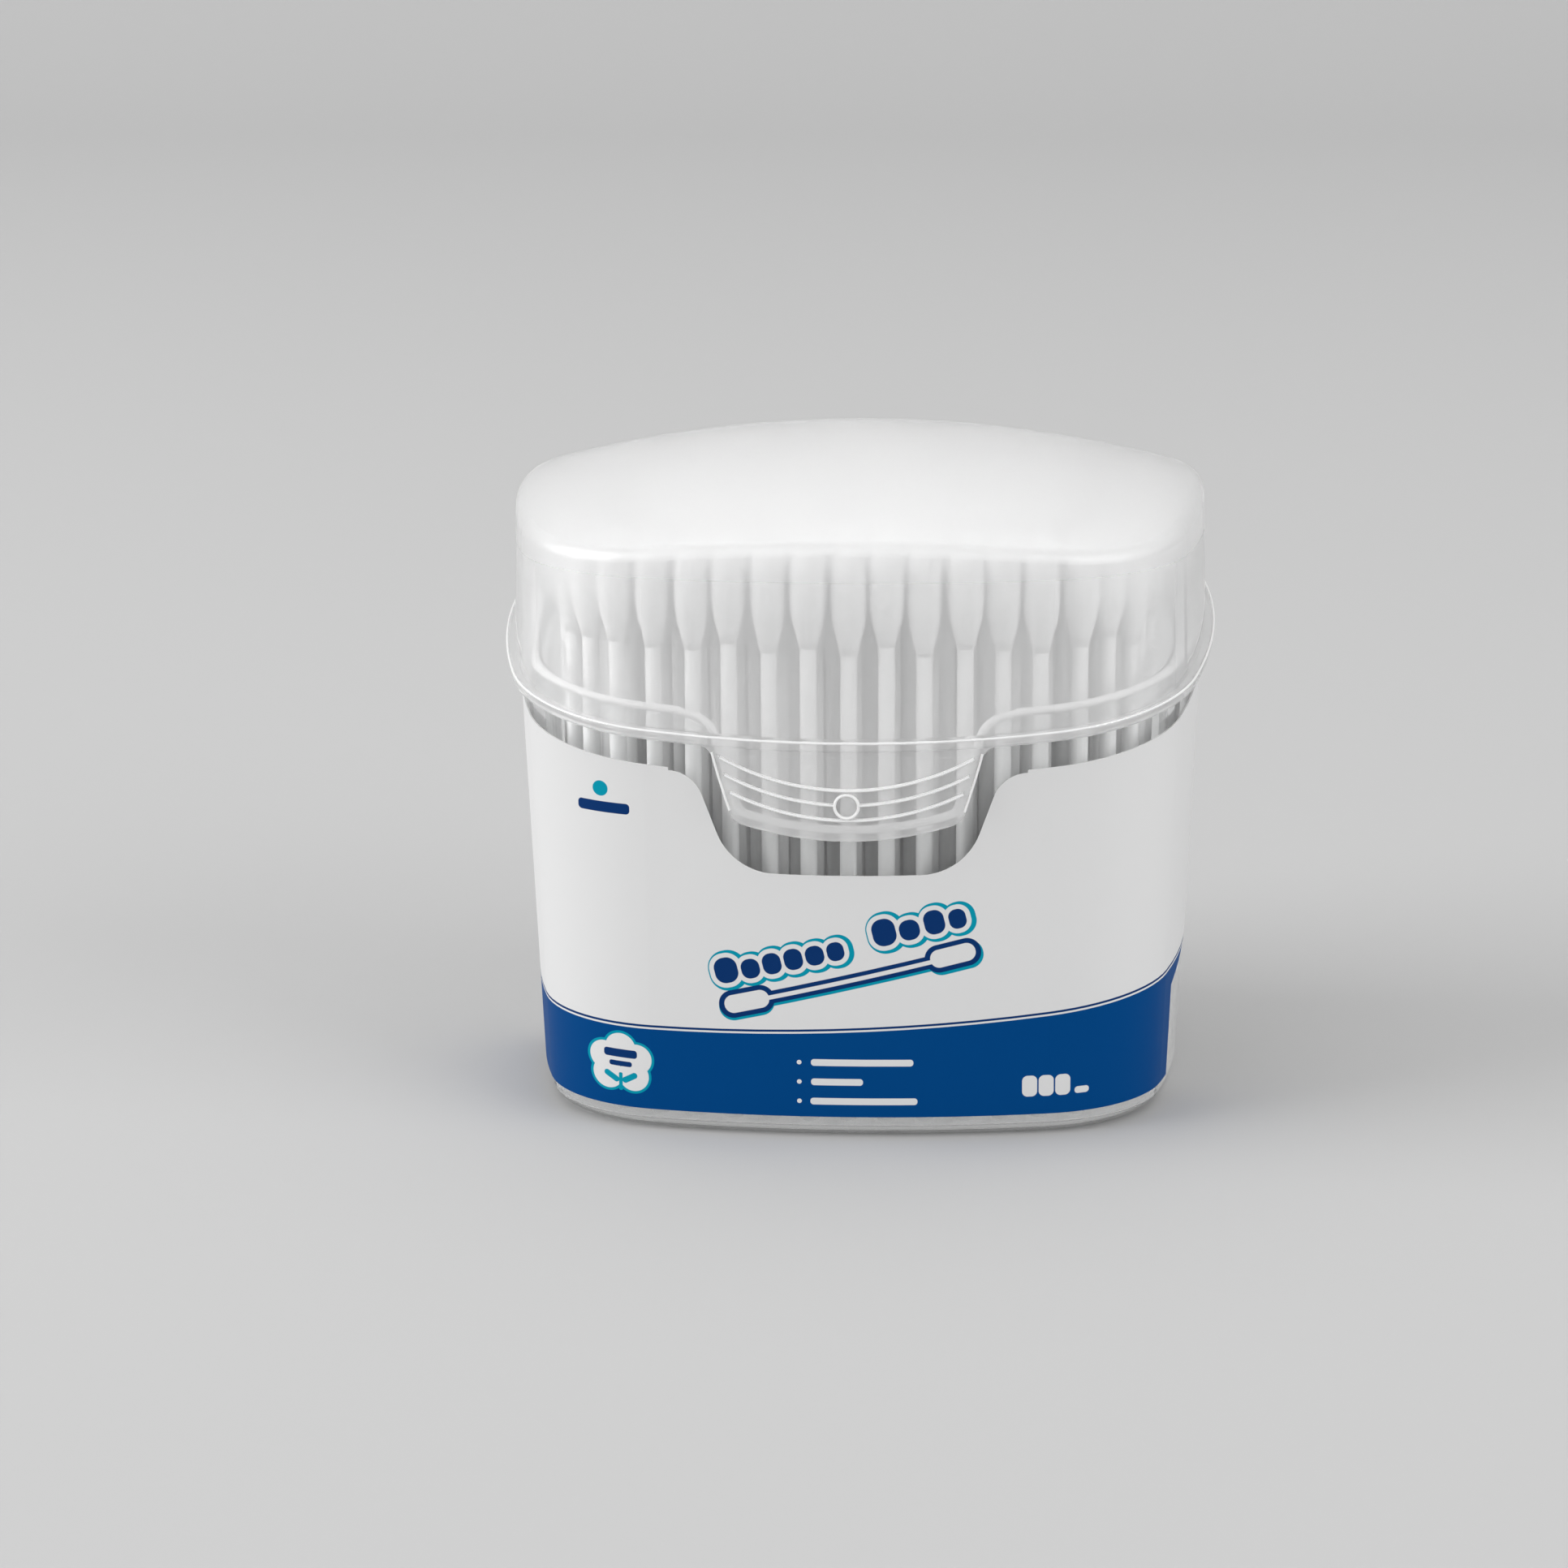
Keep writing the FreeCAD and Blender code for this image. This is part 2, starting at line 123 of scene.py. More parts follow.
def paper_material():
    """Rolled white paper: smooth but dull, with a faint long grain."""
    material, nodes, links, shader = new_material("rolled paper")
    shader.inputs["Roughness"].default_value = 0.55
    place = nodes.new("ShaderNodeTexCoord")
    stretch = nodes.new("ShaderNodeMapping")
    stretch.inputs["Scale"].default_value = (900.0, 900.0, 60.0)
    grain = nodes.new("ShaderNodeTexNoise")
    tone = nodes.new("ShaderNodeMix")
    tone.data_type = "RGBA"
    tone.inputs["A"].default_value = (0.89, 0.89, 0.89, 1.0)
    tone.inputs["B"].default_value = (0.93, 0.93, 0.93, 1.0)
    links.new(place.outputs["Object"], stretch.inputs["Vector"])
    links.new(stretch.outputs["Vector"], grain.inputs["Vector"])
    links.new(grain.outputs["Fac"], tone.inputs["Factor"])
    links.new(tone.outputs["Result"], shader.inputs["Base Color"])
    return material


def post_centres(node):
    """Middle of each square post in a CAD node, which holds 24 corner points for every post."""
    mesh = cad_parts[node].data
    points = np.empty(len(mesh.vertices) * 3)
    mesh.vertices.foreach_get("co", points)
    return points.reshape(-1, 24, 3).mean(axis=1)


def lean_points(points, base, lean, low, high):
    """Points of one swab part at every place: x and y follow the swab's axis, which leans outwards."""
    rise = (points[:, :, 2] - low) / (high - low)
    moved = points.copy()
    moved[:, :, 0] += base[:, None, 0] + lean[:, None, 0] * rise
    moved[:, :, 1] += base[:, None, 1] + lean[:, None, 1] * rise
    return moved


cotton = cotton_material()
paper = paper_material()
tip_points, tip_faces = lathe(cotton_shape["height"], cotton_shape["radius"], swab_sides)
groups = sorted(name[len("swab_sticks_"):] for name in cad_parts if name.startswith("swab_sticks_"))
for group in groups:
    sticks_node = "swab_sticks_" + group
    tips_node = "swab_tips_" + group
    base = post_centres(sticks_node)
    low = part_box(tips_node)[0][2]
    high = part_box(tips_node)[1][2]
    count = len(base)
    lean = base[:, :2] * lean_share + swab_rng.normal(0.0, lean_spread, (count, 2))
    stick_low = low + stick_end_room
    stick_high = high - stick_end_room
    stick_height = np.array([stick_low, stick_low, stick_high, stick_high])
    stick_points, stick_faces = lathe(stick_height, stick_profile, swab_sides)
    standing = np.repeat(stick_points[None], count, axis=0)
    moved = lean_points(standing, base, lean, low, high)
    sticks = mesh_piece("sticks_" + group, *copies(stick_points, stick_faces, moved), paper)
    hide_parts(sticks_node)
    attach(sticks, "tub")
    wound = swab_rng.uniform(0.93, 1.14, (2, count))
    thick = swab_rng.uniform(0.94, 1.02, (2, count))
    lower = np.repeat(tip_points[None], count, axis=0)
    upper = lower.copy()
    lower *= np.stack([thick[0], thick[0], wound[0]], axis=-1)[:, None, :]
    upper *= np.stack([thick[1], -thick[1], -wound[1]], axis=-1)[:, None, :]
    lower[:, :, 2] += low
    upper[:, :, 2] += high
    both = np.concatenate([lower, upper])
    moved = lean_points(both, np.concatenate([base, base]), np.concatenate([lean, lean]), low, high)
    tips = mesh_piece("cotton_tips_" + group, *copies(tip_points, tip_faces, moved), cotton)
    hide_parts(tips_node)
    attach(tips, "tub")


# Tub. One clear polystyrene moulding with a polished surface and a trace of haze. Light passes through
# its wall to the swabs.

def clear_plastic(name, tint, transmission, bending, clearance):
    """Clear plastic: a transmitting shader that lets lamp light through to what is behind it."""
    material, nodes, links, shader = new_material(name)
    shader.inputs["Base Color"].default_value = tint
    shader.inputs["Roughness"].default_value = 0.03
    shader.inputs["IOR"].default_value = bending
    shader.inputs["Transmission Weight"].default_value = transmission
    rays = nodes.new("ShaderNodeLightPath")
    clear = nodes.new("ShaderNodeBsdfTransparent")
    clear.inputs["Color"].default_value = clearance
    pick = nodes.new("ShaderNodeMixShader")
    links.new(rays.outputs["Is Shadow Ray"], pick.inputs["Fac"])
    links.new(shader.outputs["BSDF"], pick.inputs[1])
    links.new(clear.outputs["BSDF"], pick.inputs[2])
    links.new(pick.outputs["Shader"], nodes["Material Output"].inputs["Surface"])
    return material, nodes, links, shader


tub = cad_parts["tub"]
tub_look = clear_plastic("clear plastic", (0.97, 0.975, 0.975, 1.0), 0.94, 1.34, (1.0, 1.0, 1.0, 1.0))
tub.data.materials[0] = tub_look[0]


# Lid. One polypropylene moulding, matt on the dome and clearer down its walls and tongue.

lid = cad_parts["lid"]
lid_plastic, nodes, links, lid_shader = clear_plastic(
    "frosted plastic", (0.93, 0.93, 0.93, 1.0), 0.7, 1.4, (0.88, 0.88, 0.88, 1.0))
lid_shader.inputs["Coat Weight"].default_value = 0.3
lid_shader.inputs["Coat Roughness"].default_value = 0.06
place = nodes.new("ShaderNodeTexCoord")
parts = nodes.new("ShaderNodeSeparateXYZ")
frost = nodes.new("ShaderNodeMapRange")
frost.inputs["From Min"].default_value = 0.065
frost.inputs["From Max"].default_value = 0.077
frost.inputs["To Min"].default_value = 0.05
frost.inputs["To Max"].default_value = 0.4
links.new(place.outputs["Object"], parts.inputs["Vector"])
links.new(parts.outputs["Z"], frost.inputs["Value"])
links.new(frost.outputs["Result"], lid_shader.inputs["Roughness"])
lid.data.materials[0] = lid_plastic


# Moulded lines. The crests of the thumb ridges, the lid's lip, the edges of the tongue and its dimple,
# and the tub's rim are thick rounded lines, coloured plain white: painted highlight for the light they
# gather.

face_radius = 128.0
face_middle_y = 88.0
tub_half_width = 44.0
side_radius = 95.0
corner_radius = 20.4
skin_at_seam = 1.35
skin_taper = 0.0235
seam_z = 51.5
seam_rise = 0.128
seam_front_y = -40.0
seam_sag_size = 1000.0
line_sides = 8


def skin_y(x, z):
    """Front face of the lid in mm: a circle about a point behind it, drawn in a little with height."""
    radius = face_radius + skin_at_seam - skin_taper * (z - seam_z)
    return face_middle_y - np.sqrt(radius ** 2 - x ** 2)


def half_round(x, z, half_width, proud, sides):
    """Half round line on the lid's face: an ellipse across the path, carried along it, sunk at its root.

    A point's place aside is half_width cos t, and it stands out of the face by proud sin t.
    """
    ahead_x = np.gradient(x)
    ahead_z = np.gradient(z)
    size = np.hypot(ahead_x, ahead_z)
    turn = np.linspace(0.0, 2.0 * math.pi, sides, endpoint=False)
    aside = half_width * np.cos(turn)[None, :]
    out = proud * np.sin(turn)[None, :]
    px = x[:, None] - aside * (ahead_z / size)[:, None]
    pz = z[:, None] + aside * (ahead_x / size)[:, None]
    py = skin_y(px, pz) - out
    points = np.stack([px, py, pz], axis=-1).reshape(-1, 3) * mm
    row = np.arange(len(x) - 1)[:, None] * sides
    here = np.arange(sides)[None, :]
    after = (here + 1) % sides
    faces = np.stack([row + here, row + after, row + sides + after, row + sides + here], axis=-1)
    return points, faces.reshape(-1, 4)


def painted_highlight_material():
    """Plain white under a thin clear coat, with a gloss that clouds a little: painted highlight on edges
    of clear plastic.
    """
    material, nodes, links, shader = new_material("painted highlight plastic")
    shader.inputs["IOR"].default_value = 1.45
    shader.inputs["Coat Weight"].default_value = 0.3
    place = nodes.new("ShaderNodeTexCoord")
    cloud = nodes.new("ShaderNodeTexNoise")
    cloud.inputs["Scale"].default_value = 300.0
    tone = nodes.new("ShaderNodeMapRange")
    tone.inputs["To Min"].default_value = 0.22
    tone.inputs["To Max"].default_value = 0.4
    shader.inputs["Base Color"].default_value = (0.93, 0.93, 0.93, 1.0)
    links.new(place.outputs["Object"], cloud.inputs["Vector"])
    links.new(cloud.outputs["Fac"], tone.inputs["Value"])
    links.new(tone.outputs["Result"], shader.inputs["Roughness"])
    return material


def lid_line(name, x, z, half_width, proud):
    """Half round line on the lid's face, white as painted highlight, which moves with the lid."""
    piece = mesh_piece(name, *half_round(x, z, half_width, proud, line_sides), painted_highlight_white)
    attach(piece, "lid")


# The white of the moulded lines is painted highlight, not the colour of the clear plastic.
painted_highlight_white = painted_highlight_material()
ridge_bend = 34.0
ridge_runs = [(46.4, -15.9, 15.9), (44.5, -15.3, -1.5), (44.5, 1.5, 15.3), (42.6, -14.6, 14.6)]
for number, (low_z, start_x, end_x) in enumerate(ridge_runs, start=1):
    across = np.linspace(start_x, end_x, 49)
    path_z = low_z + ridge_bend - np.sqrt(ridge_bend ** 2 - across ** 2)
    lid_line("thumb_ridge_%d" % number, across, path_z, 0.24, 0.36)


def plan_path(out, back_x, steps):
    """Right half of the box's outline, from the middle of the front round to back_x behind, moved out.

    Five arcs in turn, each about its own centre: front, corner, side, corner and back. A corner's centre
    is where circles about its neighbours' centres meet. It gives places and their outward directions.
    """
    front_middle = np.array([0.0, face_middle_y])
    side_middle = np.array([tub_half_width - side_radius, 0.0])
    front_reach = face_radius - corner_radius
    side_reach = side_radius - corner_radius
    gap = math.hypot(*(side_middle - front_middle))
    along = (gap ** 2 + front_reach ** 2 - side_reach ** 2) / (2.0 * gap)
    aside = math.sqrt(front_reach ** 2 - along ** 2)
    toward = (side_middle - front_middle) / gap
    corner_middle = front_middle + along * toward + aside * np.array([-toward[1], toward[0]])
    to_front = math.atan2(corner_middle[1] - face_middle_y, corner_middle[0])
    to_side = math.atan2(corner_middle[1], corner_middle[0] - side_middle[0])
    places = []
    outward = []
    flip = np.array([1.0, -1.0])
    to_back = math.acos(back_x / (face_radius + out))
    for middle, radius, start, end in ((front_middle, face_radius, -0.5 * math.pi, to_front),
                                       (corner_middle, corner_radius, to_front, to_side),
                                       (side_middle, side_radius, to_side, -to_side),
                                       (corner_middle * flip, corner_radius, -to_side, -to_front),
                                       (front_middle * flip, face_radius, -to_front, to_back)):
        angle = np.linspace(start, end, steps, endpoint=False)
        ways = np.stack([np.cos(angle), np.sin(angle)], axis=-1)
        places.append(middle + (radius + out) * ways)
        outward.append(ways)
    return np.concatenate(places), np.concatenate(outward)


def seam_line(places, lift):
    """Height of the seam in the plan, raised by lift: it climbs to the back and sags in the middle."""
    climb = seam_rise * (places[:, 1] - seam_front_y)
    return seam_z + climb + places[:, 0] ** 2 / seam_sag_size + lift


def round_line(name, path, outward, thick, body):
    """Round line along a path, white as painted highlight, given to a body.

    It is a circle of radius thick at each place, in the plane of the outward direction and the direction
    square to both that and the path.
    """
    ahead = np.gradient(path, axis=0)
    out = np.concatenate([outward, np.zeros((len(outward), 1))], axis=-1)
    side = np.cross(ahead, out)
    side /= np.linalg.norm(side, axis=1)[:, None]
    turn = np.arange(line_sides) * 2.0 * math.pi / line_sides
    ring_points = (path[:, None, :] + thick * np.cos(turn)[None, :, None] * out[:, None, :]
                   + thick * np.sin(turn)[None, :, None] * side[:, None, :])
    row = np.arange(len(path) - 1)[:, None] * line_sides
    here = np.arange(line_sides)[None, :]
    after = (here + 1) % line_sides
    ahead_row = row + line_sides
    faces = np.stack([row + here, ahead_row + here, ahead_row + after, row + after], axis=-1)
    piece = mesh_piece(name, ring_points.reshape(-1, 3) * mm, faces.reshape(-1, 4), painted_highlight_white)
    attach(piece, body)


def both_halves(half):
    """A line from the middle out to the right, with its mirror image in front of it."""
    mirror = np.ones(half.shape[1])
    mirror[0] = -1.0
    return np.concatenate([half[:0:-1] * mirror, half])


arc_steps = 24
lip_out = 2.2
lip_lift = 1.35
lip_end_x = 16.6
lip_places, lip_outward = plan_path(lip_out, lip_end_x, arc_steps)
lip_half = np.concatenate([lip_places, seam_line(lip_places, lip_lift)[:, None]], axis=-1)
round_line("lip_line", both_halves(lip_half), both_halves(lip_outward), 0.17, "lid")

neck_out = -0.8
neck_height = 3.45
notch_end_x = 20.6
notch_reach_y = -25.0
notch_low_z = 40.9
notch_bow = 90.0
notch_corner = np.array([12.32, 44.29])
notch_corner_radius = 1.6
notch_flare = np.array([20.28, 51.34])
notch_flare_radius = 4.0
flank_slope = math.atan(0.3)
bottom_x = np.linspace(0.0, 12.2, 14, endpoint=False)
corner_turn = np.linspace(-1.283, -flank_slope, 6)
flare_turn = np.linspace(math.pi - flank_slope, 0.5 * math.pi, 12)
notch_x = np.concatenate([bottom_x, notch_corner[0] + notch_corner_radius * np.cos(corner_turn),
                          notch_flare[0] + notch_flare_radius * np.cos(flare_turn)])
notch_z = np.concatenate([notch_low_z + bottom_x ** 2 / notch_bow,
                          notch_corner[1] + notch_corner_radius * np.sin(corner_turn),
                          notch_flare[1] + notch_flare_radius * np.sin(flare_turn)])
notch_turn = np.arcsin(notch_x / (face_radius + neck_out))
notch_outward = np.stack([np.sin(notch_turn), -np.cos(notch_turn)], axis=-1)
notch_places = np.array([0.0, face_middle_y]) + (face_radius + neck_out) * notch_outward
neck_places, neck_outward = plan_path(neck_out, 0.0, arc_steps)
past = (neck_places[:, 0] > notch_end_x) | (neck_places[:, 1] > notch_reach_y)
neck_half = np.concatenate([
    np.concatenate([notch_places, notch_z[:, None]], axis=-1),
    np.concatenate([neck_places[past], seam_line(neck_places[past], neck_height)[:, None]], axis=-1)])
neck_half_outward = np.concatenate([notch_outward, neck_outward[past]])
round_line("neck_rim", both_halves(neck_half), both_halves(neck_half_outward), 0.55, "tub")

edge_x = np.array([16.9, 16.55, 16.1, 15.6, 15.1, 14.7])
edge_z = np.array([51.0, 49.6, 48.0, 46.4, 44.8, 43.6])
for side_name, side in (("left", -1.0), ("right", 1.0)):
    lid_line("tongue_edge_" + side_name, side * edge_x, edge_z, 0.16, 0.22)
round_turn = np.linspace(0.0, 2.0 * math.pi, 37)
dimple_radius = 1.5
dimple_z = 44.4
ring_x = dimple_radius * np.cos(round_turn)
ring_z = dimple_z + dimple_radius * np.sin(round_turn)
lid_line("dimple_rim", ring_x, ring_z, 0.2, 0.5)


# Label. A glossy printed film stuck round the front of the tub: white, with a blue band at the foot and
# plain navy, teal and white shapes where the print is.

def shape_group():
    """Mask of a slanted oval or bar seen from the front: 1 inside, 0 outside.

    The point is moved to the shape's middle and turned; its distance outside a box of half size (Long,
    High) shrunk by Round, less Round, is the distance to the edge.
    """
    group = bpy.data.node_groups.new("printed shape", "ShaderNodeTree")
    for name in ("X", "Z", "Middle X", "Middle Z", "Turn", "Long", "High", "Round"):
        group.interface.new_socket(name, in_out="INPUT", socket_type="NodeSocketFloat")
    group.interface.new_socket("Mask", in_out="OUTPUT", socket_type="NodeSocketFloat")
    source = group.nodes.new("NodeGroupInput")
    sink = group.nodes.new("NodeGroupOutput")

    def calc(operation, a, b=None):
        node = group.nodes.new("ShaderNodeMath")
        node.operation = operation
        for socket, value in zip(node.inputs, (a, b)):
            if isinstance(value, (int, float)):
                socket.default_value = value
            elif value is not None:
                group.links.new(value, socket)
        return node.outputs[0]

    get = source.outputs
    dx = calc("SUBTRACT", get["X"], get["Middle X"])
    dz = calc("SUBTRACT", get["Z"], get["Middle Z"])
    cosine = calc("COSINE", get["Turn"])
    sine = calc("SINE", get["Turn"])
    along = calc("ADD", calc("MULTIPLY", dx, cosine), calc("MULTIPLY", dz, sine))
    aside = calc("SUBTRACT", calc("MULTIPLY", dz, cosine), calc("MULTIPLY", dx, sine))
    reach_a = calc("SUBTRACT", calc("ABSOLUTE", along), calc("SUBTRACT", get["Long"], get["Round"]))
    reach_b = calc("SUBTRACT", calc("ABSOLUTE", aside), calc("SUBTRACT", get["High"], get["Round"]))
    out_a = calc("MAXIMUM", reach_a, 0.0)
    out_b = calc("MAXIMUM", reach_b, 0.0)
    squares = calc("ADD", calc("MULTIPLY", out_a, out_a), calc("MULTIPLY", out_b, out_b))
    outside = calc("SQRT", squares)
    inside = calc("MINIMUM", calc("MAXIMUM", reach_a, reach_b), 0.0)
    distance = calc("SUBTRACT", calc("ADD", outside, inside), get["Round"])
    edge = calc("MULTIPLY_ADD", distance, -20.0)
    edge.node.inputs[2].default_value = 0.5
    edge.node.use_clamp = True
    group.links.new(edge, sink.inputs["Mask"])
    return group


film, nodes, links, film_shader = new_material("printed film")
film_shader.inputs["Roughness"].default_value = 0.45
film_shader.inputs["Specular IOR Level"].default_value = 0.03
white_ink = (0.76, 0.76, 0.76, 1.0)
blue_ink = (0.0, 0.06, 0.23, 1.0)
navy_ink = (0.004, 0.035, 0.15, 1.0)
teal_ink = (0.002, 0.3, 0.42, 1.0)
place = nodes.new("ShaderNodeTexCoord")
scale = nodes.new("ShaderNodeVectorMath")
scale.operation = "SCALE"
scale.inputs["Scale"].default_value = 1000.0
parts = nodes.new("ShaderNodeSeparateXYZ")
links.new(place.outputs["Object"], scale.inputs[0])
links.new(scale.outputs[0], parts.inputs["Vector"])
print_group = shape_group()


def film_math(operation, a, b=0.0, c=0.0, clamp=False):
    """One arithmetic step of the film's print."""
    node = nodes.new("ShaderNodeMath")
    node.operation = operation
    node.use_clamp = clamp
    for socket, value in zip(node.inputs, (a, b, c)):
        if isinstance(value, (int, float)):
            socket.default_value = value
        else:
            links.new(value, socket)
    return node.outputs[0]


def ink_over(below, mask, ink):
    """The colour below, covered by an ink where the mask is 1."""
    node = nodes.new("ShaderNodeMix")
    node.data_type = "RGBA"
    links.new(mask, node.inputs["Factor"])
    if isinstance(below, tuple):
        node.inputs["A"].default_value = below
    else:
        links.new(below, node.inputs["A"])
    node.inputs["B"].default_value = ink
    return node.outputs["Result"]


def shape_mask(middle_x, middle_z, turn, half_long, half_high, rounding):
    """Mask of one printed shape, in millimetres across the front and degrees of slant."""
    node = nodes.new("ShaderNodeGroup")
    node.node_tree = print_group
    links.new(parts.outputs["X"], node.inputs["X"])
    links.new(parts.outputs["Z"], node.inputs["Z"])
    values = {"Middle X": middle_x, "Middle Z": middle_z, "Turn": math.radians(turn),
              "Long": half_long, "High": half_high, "Round": rounding}
    for name, value in values.items():
        node.inputs[name].default_value = value
    return node.outputs["Mask"]


band_low_x = -25.8
band_low_z = 14.15
band_bend = 0.0009
edge_sharpness = 20.0
band_rise = film_math("ADD", parts.outputs["X"], -band_low_x)
band_top = film_math("MULTIPLY_ADD", film_math("MULTIPLY", band_rise, band_rise), band_bend, band_low_z)
under = film_math("SUBTRACT", band_top, parts.outputs["Z"])
colour = white_ink
for depth, ink in ((0.0, navy_ink), (0.3, white_ink), (0.55, blue_ink)):
    mask = film_math("MULTIPLY", film_math("SUBTRACT", under, depth), edge_sharpness, clamp=True)
    colour = ink_over(colour, mask, ink)
slant = 13.5
slant_x = math.cos(math.radians(slant))
slant_z = math.sin(math.radians(slant))
block_shadow = 0.25
block_foot = 1.55
shapes = []
rows_of_blocks = [
    (-8.4, 23.6, ((-7.3, 1.5, 1.7), (-4.1, 1.2, 1.3), (-1.3, 1.2, 1.4), (1.5, 1.2, 1.4),
                  (4.3, 1.2, 1.3), (7.0, 1.1, 1.25))),
    (9.3, 28.4, ((-4.9, 1.5, 1.8), (-1.6, 1.3, 1.35), (1.6, 1.3, 1.6), (4.6, 1.1, 1.3))),
]
for spread, ink in ((1.0, teal_ink), (0.6, white_ink), (0.0, navy_ink)):
    for middle_x, middle_z, blocks in rows_of_blocks:
        for along, half_long, half_high in blocks:
            block_x = middle_x + along * slant_x + (block_shadow if ink == teal_ink else 0.0)
            block_z = middle_z + along * slant_z + half_high - block_foot
            rounding = 0.9 * min(half_long, half_high) + spread
            shapes.append((block_x, block_z, slant, half_long + spread, half_high + spread,
                           rounding, ink))
for middle_x, middle_z in ((-12.9, 17.7), (13.5, 24.1)):
    shapes.append((middle_x, middle_z, slant, 3.6, 1.9, 1.85, teal_ink))
shapes += [
    (0.6, 20.8, slant, 12.0, 0.85, 0.7, teal_ink), (0.3, 21.1, slant, 12.0, 0.85, 0.7, navy_ink),
    (-12.9, 18.0, slant, 3.6, 1.85, 1.8, navy_ink), (13.2, 24.4, slant, 3.6, 1.85, 1.8, navy_ink),
    (0.3, 21.1, slant, 12.0, 0.28, 0.28, white_ink), (-12.9, 18.0, slant, 2.9, 1.2, 1.15, white_ink),
    (13.2, 24.4, slant, 2.9, 1.2, 1.15, white_ink),
]
badge_x = -29.4
badge_z = 8.6
lobes = [(0.0, 2.0), (-2.1, 0.7), (2.1, 0.7), (-1.7, -1.6), (1.7, -1.6)]
for radius, ink in ((2.35, teal_ink), (2.0, white_ink)):
    for lobe_x, lobe_z in lobes:
        shapes.append((badge_x + lobe_x, badge_z + lobe_z, 0.0, radius, radius, radius, ink))
shapes += [
    (badge_x, badge_z + 1.3, 0.0, 2.2, 0.55, 0.4, navy_ink),
    (badge_x, badge_z - 0.1, 0.0, 1.5, 0.35, 0.3, navy_ink),
    (badge_x - 1.2, badge_z - 1.9, 150.0, 1.1, 0.4, 0.4, teal_ink),
    (badge_x + 1.2, badge_z - 1.9, 30.0, 1.1, 0.4, 0.4, teal_ink),
    (badge_x, badge_z - 2.5, 90.0, 1.2, 0.25, 0.2, teal_ink),
    (-6.3, 10.1, 0.0, 0.3, 0.3, 0.3, white_ink), (1.7, 10.1, 0.0, 6.5, 0.45, 0.4, white_ink),
    (-6.3, 7.5, 0.0, 0.3, 0.3, 0.3, white_ink), (-1.5, 7.5, 0.0, 3.3, 0.45, 0.4, white_ink),
    (-6.3, 4.9, 0.0, 0.3, 0.3, 0.3, white_ink), (1.9, 4.9, 0.0, 6.8, 0.45, 0.4, white_ink),
    (22.9, 6.6, 0.0, 0.95, 1.4, 0.7, white_ink), (25.0, 6.6, 0.0, 0.95, 1.4, 0.7, white_ink),
    (27.1, 6.6, 0.0, 0.95, 1.4, 0.7, white_ink), (29.5, 5.7, 0.0, 0.9, 0.45, 0.4, white_ink),
    (-31.4, 45.0, 0.0, 1.0, 1.0, 1.0, teal_ink), (-31.0, 42.6, 0.0, 3.4, 0.7, 0.5, navy_ink),
]
for middle_x, middle_z, turn, half_long, half_high, rounding, ink in shapes:
    colour = ink_over(colour, shape_mask(middle_x, middle_z, turn, half_long, half_high, rounding), ink)
links.new(colour, film_shader.inputs["Base Color"])
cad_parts["label"].data.materials[0] = film


# Floor and backdrop. One pale sheet that rises behind the box in a wide curve.

def sheet_points(width, depth, height, bend, steps):
    """Sheet profile carried across: flat floor, a quarter turn of radius bend, then a straight wall."""
    turn = np.linspace(0.0, math.pi / 2.0, steps)
    y = np.concatenate([[-depth], depth - bend + bend * np.sin(turn), [depth]])
    z = np.concatenate([[0.0], bend - bend * np.cos(turn), [height]])
    x = np.tile([-width, width], len(y))
    points = np.stack([x, np.repeat(y, 2), np.repeat(z, 2)], axis=-1)
    row = np.arange(len(y) - 1) * 2
    faces = np.stack([row, row + 1, row + 3, row + 2], axis=-1)
    return points, faces


backdrop_paint, backdrop_nodes, backdrop_links, backdrop_shader = new_material("pale backdrop")
backdrop_shader.inputs["Base Color"].default_value = (0.52, 0.52, 0.52, 1.0)
backdrop_shader.inputs["Roughness"].default_value = 0.9
backdrop_rays = backdrop_nodes.new("ShaderNodeLightPath")
backdrop_glow = backdrop_nodes.new("ShaderNodeEmission")
backdrop_glow.inputs["Color"].default_value = (0.55, 0.55, 0.55, 1.0)
backdrop_share = backdrop_nodes.new("ShaderNodeMath")
backdrop_share.operation = "MULTIPLY"
backdrop_share.inputs[1].default_value = 0.7
backdrop_pick = backdrop_nodes.new("ShaderNodeMixShader")
backdrop_links.new(backdrop_rays.outputs["Is Transmission Ray"], backdrop_share.inputs[0])
backdrop_links.new(backdrop_share.outputs[0], backdrop_pick.inputs["Fac"])
backdrop_links.new(backdrop_shader.outputs["BSDF"], backdrop_pick.inputs[1])
backdrop_links.new(backdrop_glow.outputs["Emission"], backdrop_pick.inputs[2])
backdrop_links.new(backdrop_pick.outputs["Shader"], backdrop_nodes["Material Output"].inputs["Surface"])
backdrop = mesh_piece("backdrop", *sheet_points(6.0, 1.6, 2.4, 0.6, 24), backdrop_paint)


# Lamps and world. A big soft lamp high on the left, a weaker one on the right, and a dim grey room.

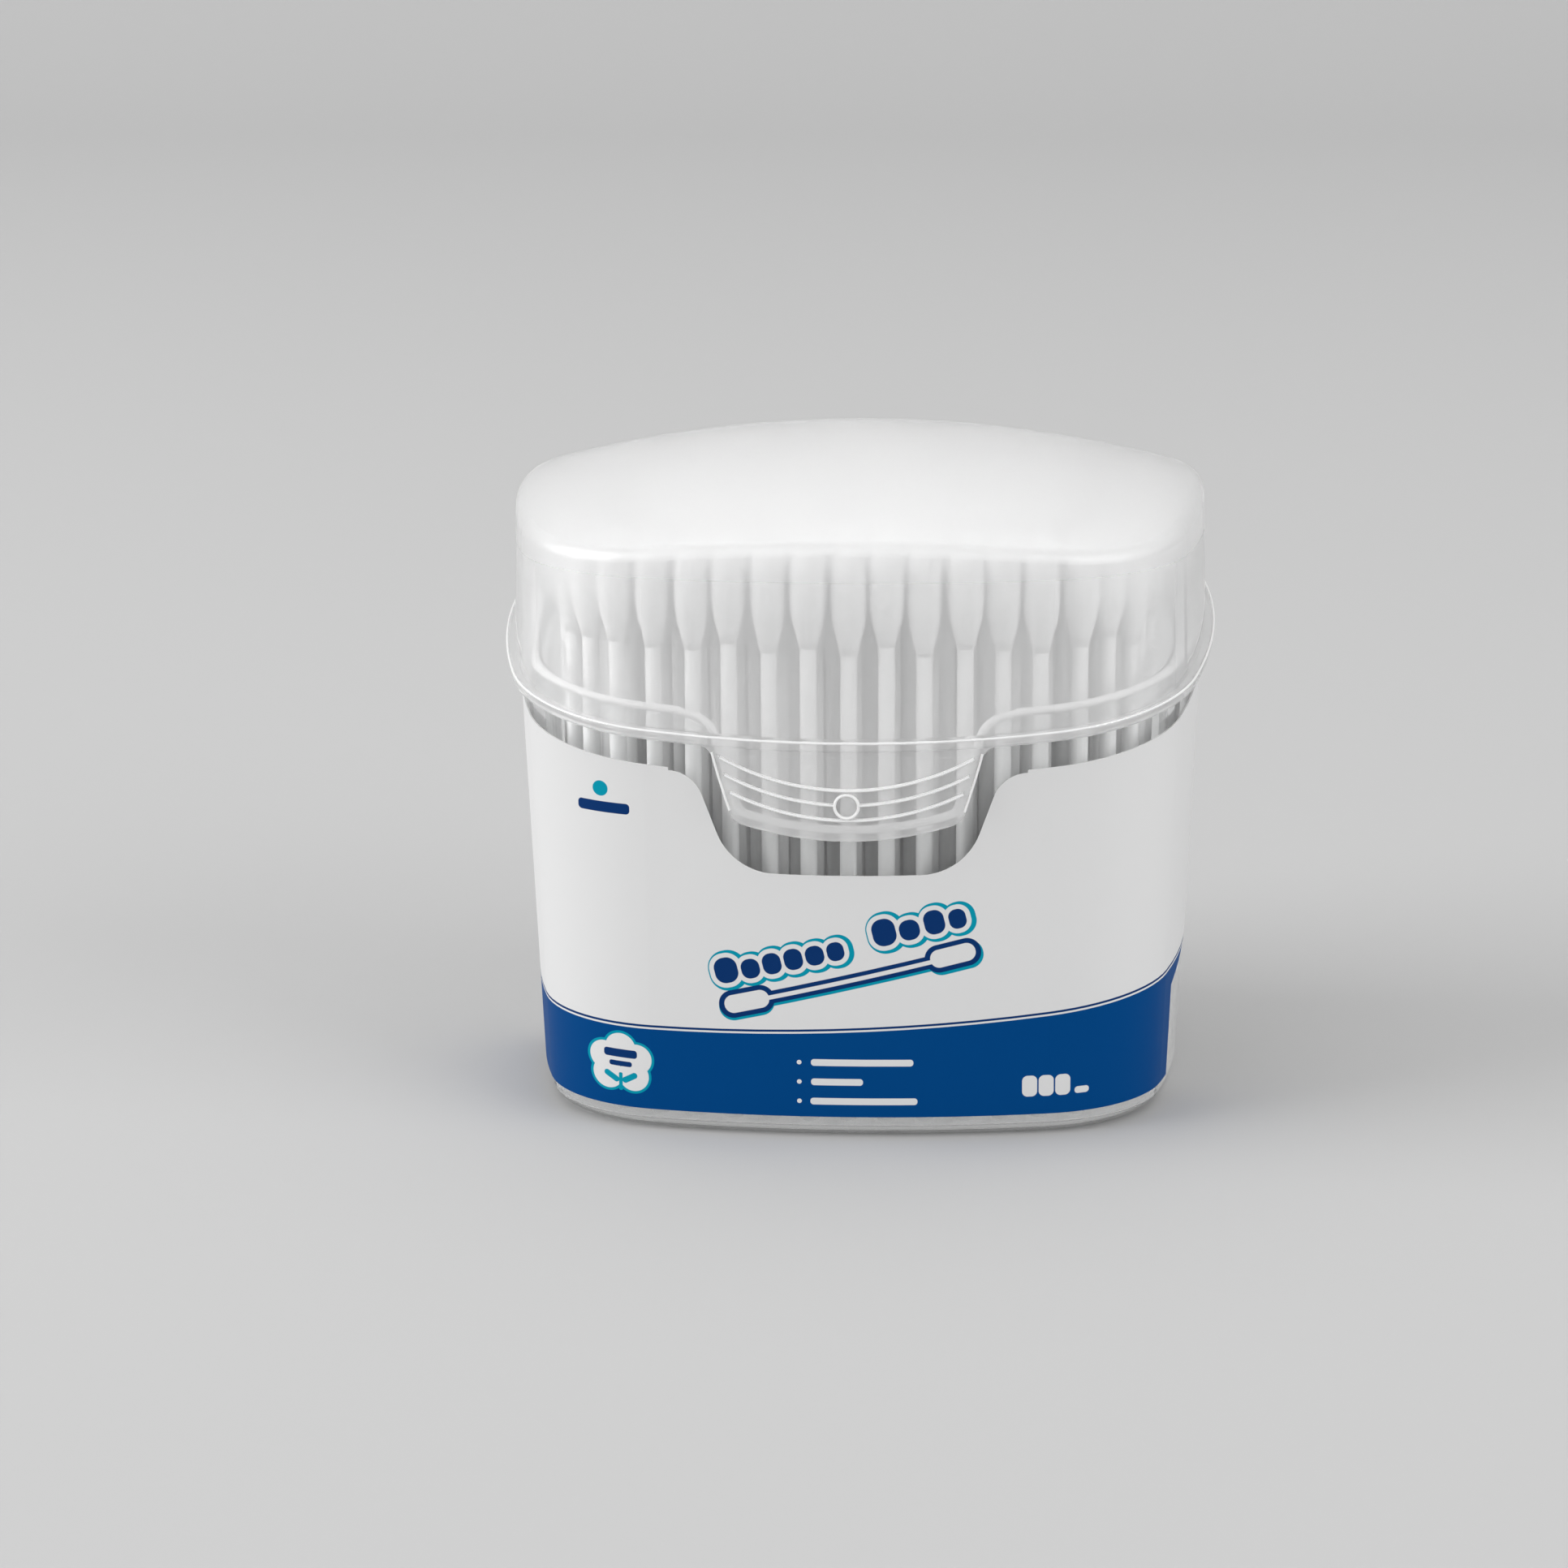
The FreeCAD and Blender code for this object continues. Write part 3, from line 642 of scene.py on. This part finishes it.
def soft_lamp(name, place, target, size, power):
    """A square lamp that faces a target."""
    data = bpy.data.lights.new(name, "AREA")
    data.size = size
    data.energy = power
    lamp = bpy.data.objects.new(name, data)
    aim = Vector(target) - Vector(place)
    lamp.matrix_world = Matrix.Translation(place) @ aim.to_track_quat("-Z", "Y").to_matrix().to_4x4()
    bpy.context.scene.collection.objects.link(lamp)


soft_lamp("left lamp", (-1.75, -0.4, 1.0), (0.0, 0.0, 0.04), 1.5, 25.0)
soft_lamp("right lamp", (1.5, -0.85, 0.85), (0.0, 0.0, 0.04), 1.4, 12.5)
soft_lamp("top lamp", (0.0, 0.2, 1.3), (0.0, 0.0, 0.05), 1.8, 6.4)
world = bpy.data.worlds.new("room")
world.use_nodes = True
world.node_tree.nodes["Background"].inputs["Color"].default_value = (0.8, 0.8, 0.8, 1.0)
world.node_tree.nodes["Background"].inputs["Strength"].default_value = 0.76
bpy.context.scene.world = world


# Camera. A long lens a little above the box, turned slightly to the right side of its front. The focal
# length and the scale are in pixels of the photo, and the shifts aside and down in mm.

picture_width = 1932.0
focal = 6500.0
pixels_per_mm = 9.292
pitch = math.radians(14.0)
yaw = math.radians(3.5)
roll = math.radians(-0.4)
aside = 10.3
drop = 37.034
distance = focal / pixels_per_mm
turn = Matrix.Rotation(yaw, 4, "Z")
where = turn @ Vector((-aside, -distance * math.cos(pitch), distance * math.sin(pitch) + drop))
right = turn.to_3x3() @ Vector((1.0, 0.0, 0.0))
up = turn.to_3x3() @ Vector((0.0, math.sin(pitch), math.cos(pitch)))
right_rolled = right * math.cos(roll) + up * math.sin(roll)
up_rolled = up * math.cos(roll) - right * math.sin(roll)
back = right_rolled.cross(up_rolled)
lens = bpy.data.cameras.new("camera")
lens.sensor_width = 36.0
lens.lens = focal / picture_width * 36.0
lens.clip_start = 0.05
lens.clip_end = 20.0
camera = bpy.data.objects.new("camera", lens)
facing = Matrix((right_rolled, up_rolled, back)).transposed().to_4x4()
camera.matrix_world = Matrix.Translation(where * mm) @ facing
bpy.context.scene.collection.objects.link(camera)
bpy.context.scene.camera = camera
bpy.context.scene.view_settings.view_transform = "Standard"
